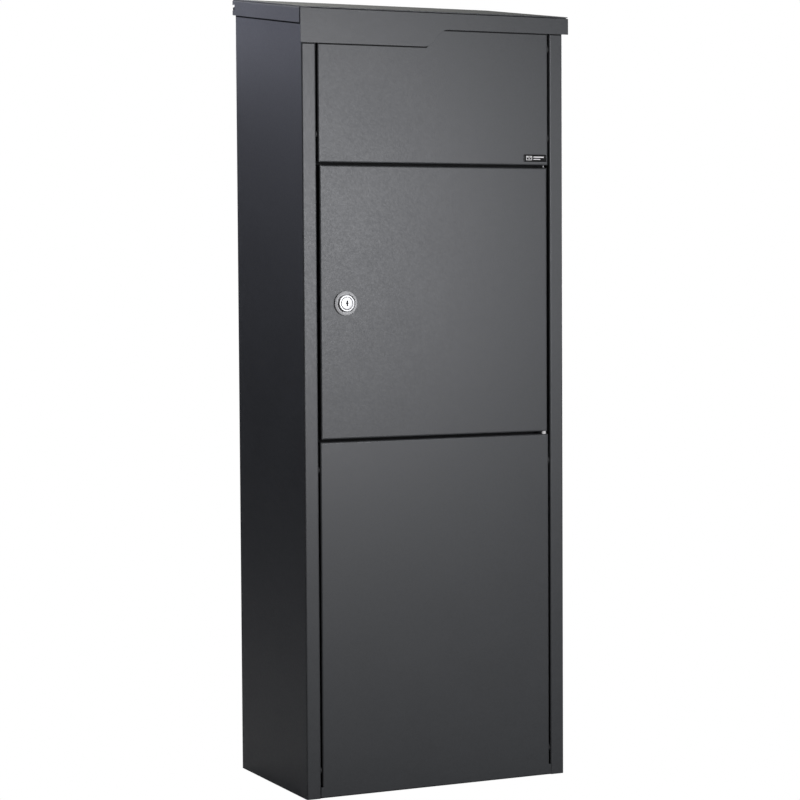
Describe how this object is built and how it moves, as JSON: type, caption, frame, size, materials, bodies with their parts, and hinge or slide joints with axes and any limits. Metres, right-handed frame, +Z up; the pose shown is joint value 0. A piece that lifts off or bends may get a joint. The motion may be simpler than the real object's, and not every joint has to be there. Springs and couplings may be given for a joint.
{
  "type": "parcel locker",
  "caption": "Free-standing steel parcel locker with a sloping top lid, a lockable front door and an anti-theft drop tray linked to the lid.",
  "frame": {"origin": "centre of the four anchor holes in the floor, on the underside of the locker", "axes": "+Z up, -Y out of the front with the door, +X to the right seen from the front"},
  "size_m": [0.3758, 0.229, 1.02],
  "materials": {
    "coated_steel": "fine-textured matt powder coat, anthracite",
    "coated_zinc": "satin grey",
    "zinc_steel": "zinc plated",
    "bright_steel": "bright turned",
    "spring_steel": "dark oiled",
    "aluminium_rivet": "satin",
    "chrome": "bright nickel",
    "black_rubber": "matt",
    "white_nylon": "natural white",
    "black_nylon": "satin black",
    "black_badge": "gloss black"
  },
  "bodies": {
    "casing": {"back_wall": "coated_steel", "badge_plate": "black_badge", "casing_hinge_leaf": "zinc_steel", "door_header_rail": "coated_steel", "door_sill_rail": "coated_steel", "door_washer": "white_nylon", "floor_pan": "coated_steel", "hinge_leaf_rivets": "aluminium_rivet", "left_side_wall": "coated_steel", "left_tray_bracket": "zinc_steel", "lid_hinge_rod": "bright_steel", "lid_rest_buffers": "black_rubber", "lid_side_pads": "black_rubber", "lower_door_pin": "bright_steel", "lower_front_panel": "coated_steel", "panel_nuts": "zinc_steel", "panel_screws": "zinc_steel", "panel_spacers": "black_rubber", "rail_buffers": "black_rubber", "right_side_wall": "coated_steel", "right_tray_bracket": "zinc_steel", "strike_plate": "zinc_steel", "strike_rivets": "aluminium_rivet", "upper_door_pin": "spring_steel", "upper_front_panel": "coated_steel"},
    "lid": {"lid_roof": "coated_steel", "left_lid_side": "coated_steel", "right_lid_side": "coated_steel", "lid_fascia": "coated_steel", "lid_fascia_rail": "zinc_steel", "lid_stiffener": "zinc_steel", "lid_hinge_leaf": "zinc_steel", "left_lid_ear": "zinc_steel", "right_lid_ear": "zinc_steel", "lid_crank_pins": "bright_steel", "lid_link_clips": "spring_steel"},
    "left_link": {"left_link_rod": "zinc_steel"},
    "right_link": {"right_link_rod": "zinc_steel"},
    "tray": {"drop_tray": "coated_steel", "left_tray_arm": "zinc_steel", "right_tray_arm": "zinc_steel", "tray_arm_rivets": "aluminium_rivet", "tray_pivot_pins": "bright_steel", "tray_pivot_clips": "spring_steel", "tray_crank_pins": "bright_steel", "tray_link_clips": "spring_steel", "tray_edge_trim": "black_rubber"},
    "door": {"door_panel": "coated_steel", "door_stiffener": "zinc_steel", "upper_door_bush": "black_nylon", "lower_door_bush": "white_nylon", "lock_escutcheon": "coated_zinc", "lock_housing": "chrome", "lock_nut": "zinc_steel"},
    "lock_rotor": {"lock_plug": "chrome", "lock_cam": "zinc_steel", "cam_screw": "zinc_steel"}
  },
  "joints": [
    {"name": "lid_hinge", "type": "hinge", "parent": "casing", "child": "lid", "pos_m": [0, 0.1068, 1.01577], "axis": [-1, 0, 0], "range_deg": [0, 80]},
    {"name": "tray_tilt", "type": "hinge", "parent": "casing", "child": "tray", "pos_m": [0, 0.0988, 0.83811], "axis": [-1, 0, 0], "range_deg": [0, 80]},
    {"name": "left_link_swing", "type": "hinge", "parent": "lid", "child": "left_link", "pos_m": [-0.16425, 0.0618, 0.99077], "axis": [-1, 0, 0], "range_deg": [-80, 0]},
    {"name": "right_link_swing", "type": "hinge", "parent": "lid", "child": "right_link", "pos_m": [0.16425, 0.0618, 0.99077], "axis": [-1, 0, 0], "range_deg": [-80, 0]},
    {"name": "door_hinge", "type": "hinge", "parent": "casing", "child": "door", "pos_m": [0.1567, -0.1067, 0.62261], "axis": [0, 0, 1], "range_deg": [0, 110]},
    {"name": "lock_turn", "type": "hinge", "parent": "door", "child": "lock_rotor", "pos_m": [-0.1267, -0.1105, 0.62261], "axis": [0, -1, 0], "range_deg": [0, 90]}
  ],
  "couplings": [
    {"joint": "tray_tilt", "follows": "lid_hinge", "ratio": 1},
    {"joint": "left_link_swing", "follows": "lid_hinge", "ratio": -1},
    {"joint": "right_link_swing", "follows": "lid_hinge", "ratio": -1}
  ]
}
